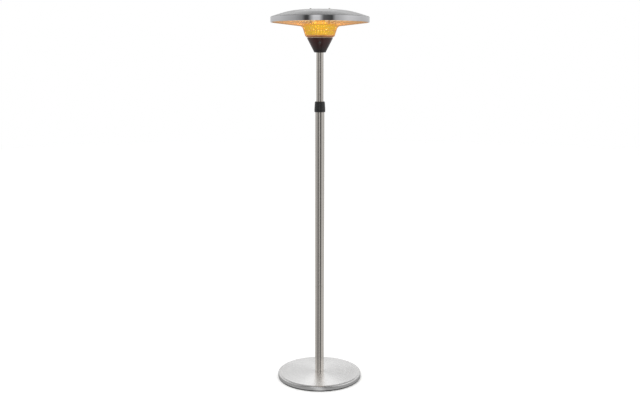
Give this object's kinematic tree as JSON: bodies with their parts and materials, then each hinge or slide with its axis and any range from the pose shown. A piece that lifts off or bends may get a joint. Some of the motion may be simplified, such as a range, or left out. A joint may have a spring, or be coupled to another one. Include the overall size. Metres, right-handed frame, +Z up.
{
  "type": "outdoor heater",
  "caption": "Free-standing electric patio heater: wide round hood over ring lamps in a bell guard, telescopic pole with clamp collar, round weighted base.",
  "frame": {"origin": "centre of the base's underside, on the floor", "axes": "+Z up along the pole; the front, with the push button, faces -Y"},
  "size_m": [0.5409, 0.541, 2.1028],
  "materials": {
    "brushed_stainless": "brushed stainless steel",
    "pole_stainless": "satin stainless tube",
    "satin_hood": "satin spun steel",
    "polished_band": "mirror polished steel",
    "bright_aluminium": "polished reflector aluminium",
    "black_plastic": "fine textured black plastic",
    "black_housing": "satin black heat-proof plastic",
    "button_plastic": "grey silicone cap",
    "white_nylon": "natural nylon",
    "rubber": "black rubber",
    "cast_ballast": "cast ballast",
    "zinc_steel": "zinc plated steel",
    "guard_wire": "chromed wire, warm from the lamps",
    "fine_mesh": "fine steel mesh, lit by the lamps",
    "lamp_glass": "amber quartz glass",
    "hot_filament": "glowing tungsten coil",
    "ceramic": "white ceramic",
    "mineral_board": "mineral fibre board",
    "lead_sleeve": "silicone sleeved wire"
  },
  "bodies": {
    "pole": {"base_pan": "black_plastic", "base_weight": "cast_ballast", "base_cover": "brushed_stainless", "base_feet": "rubber", "base_screws": "zinc_steel", "base_washer": "zinc_steel", "base_bolt": "zinc_steel", "foot_insert": "zinc_steel", "pole_bottom": "pole_stainless", "pole_middle": "pole_stainless", "pole_top": "pole_stainless", "lower_joint_socket": "zinc_steel", "lower_joint_plug": "zinc_steel", "upper_joint_socket": "zinc_steel", "upper_joint_plug": "zinc_steel", "cord_grommet": "rubber", "collar_body": "black_plastic"},
    "collar_nut": {"collar_nut": "black_plastic"},
    "guide": {"guide_bush": "white_nylon"},
    "head": {"upper_tube": "pole_stainless", "housing": "black_housing", "housing_screws": "zinc_steel", "housing_lid": "zinc_steel", "lid_screws": "zinc_steel", "button_bezel": "black_plastic", "step_switch": "black_plastic", "terminal_block": "ceramic", "tilt_switch": "black_plastic", "insulating_disc": "mineral_board", "lamp_tray": "bright_aluminium", "tray_screws": "zinc_steel", "tray_nuts": "zinc_steel", "reflector_column": "bright_aluminium", "lamp_bracket": "zinc_steel", "lamp_lower": "lamp_glass", "lamp_middle": "lamp_glass", "lamp_upper": "lamp_glass", "filaments": "hot_filament", "lamp_caps": "ceramic", "lamp_leads": "lead_sleeve", "support_posts": "zinc_steel", "post_nuts": "zinc_steel", "post_collars": "zinc_steel", "hood_spacers": "zinc_steel", "reflector": "bright_aluminium", "hood": "satin_hood", "rim_band": "polished_band", "hood_washers": "zinc_steel", "hood_screws": "zinc_steel", "guard_wires": "guard_wire", "guard_rings": "guard_wire", "guard_clips": "zinc_steel", "lamp_screen": "fine_mesh"},
    "power_button": {"power_button": "button_plastic"}
  },
  "joints": [
    {"name": "collar_twist", "type": "hinge", "parent": "pole", "child": "collar_nut", "pos_m": [0, 0, 1.58], "axis": [0, 0, 1], "range_deg": [0, 90]},
    {"name": "mast_slide", "type": "slide", "parent": "pole", "child": "guide", "axis": [0, 0, 1], "range_m": [-0.24, 0]},
    {"name": "mast_turn", "type": "hinge", "parent": "guide", "child": "head", "pos_m": [0, 0, 1.5], "axis": [0, 0, 1], "range_deg": [-170, 170]},
    {"name": "button_push", "type": "slide", "parent": "head", "child": "power_button", "axis": [0, 0.888, 0.4599], "range_m": [0, 0.0015], "stiffness_N_per_m": 900}
  ]
}
